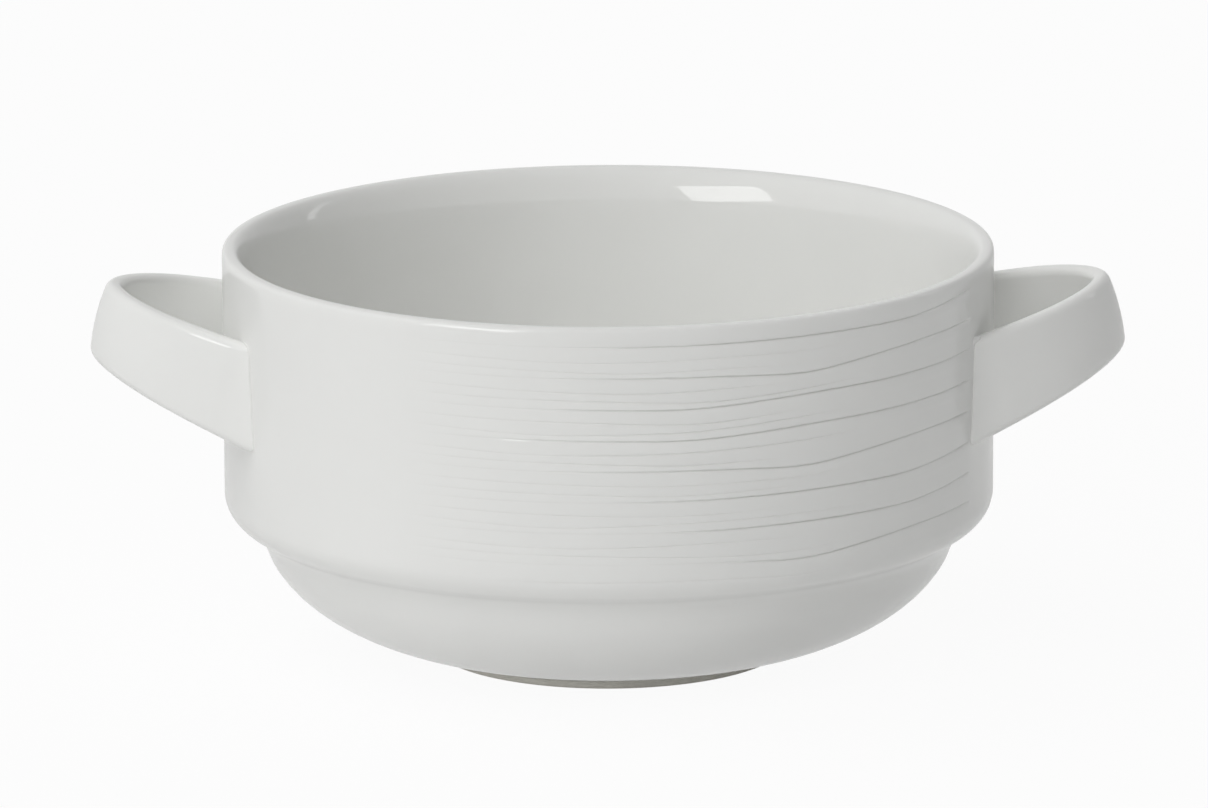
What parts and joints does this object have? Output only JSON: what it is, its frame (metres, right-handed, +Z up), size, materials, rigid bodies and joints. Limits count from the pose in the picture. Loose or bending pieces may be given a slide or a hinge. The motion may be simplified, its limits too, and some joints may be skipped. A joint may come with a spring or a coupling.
{
  "type": "lug soup bowl",
  "caption": "Round stacking soup bowl of white glazed porcelain, with an upright ribbed wall, a nesting step, a low foot ring and a flared strap lug on each side to lift it by.",
  "frame": {"origin": "centre of the foot ring's seat, at table level", "axes": "+X towards the right-hand lug, +Y away from the viewer of the picture, +Z up along the bowl's axis"},
  "size_m": [0.1544, 0.115, 0.0617],
  "materials": {
    "glazed_porcelain": "smooth, glossy, slightly warm white glaze over hard porcelain",
    "bare_porcelain": "matt, ground, unglazed biscuit of the foot",
    "glazed_slip": "thin bead of casting slip under the same glaze"
  },
  "bodies": {
    "root": {"bowl_body": "glazed_porcelain", "foot_ring": "bare_porcelain", "left_lug": "glazed_porcelain", "right_lug": "glazed_porcelain", "left_lug_slip": "glazed_slip", "right_lug_slip": "glazed_slip"}
  },
  "joints": []
}
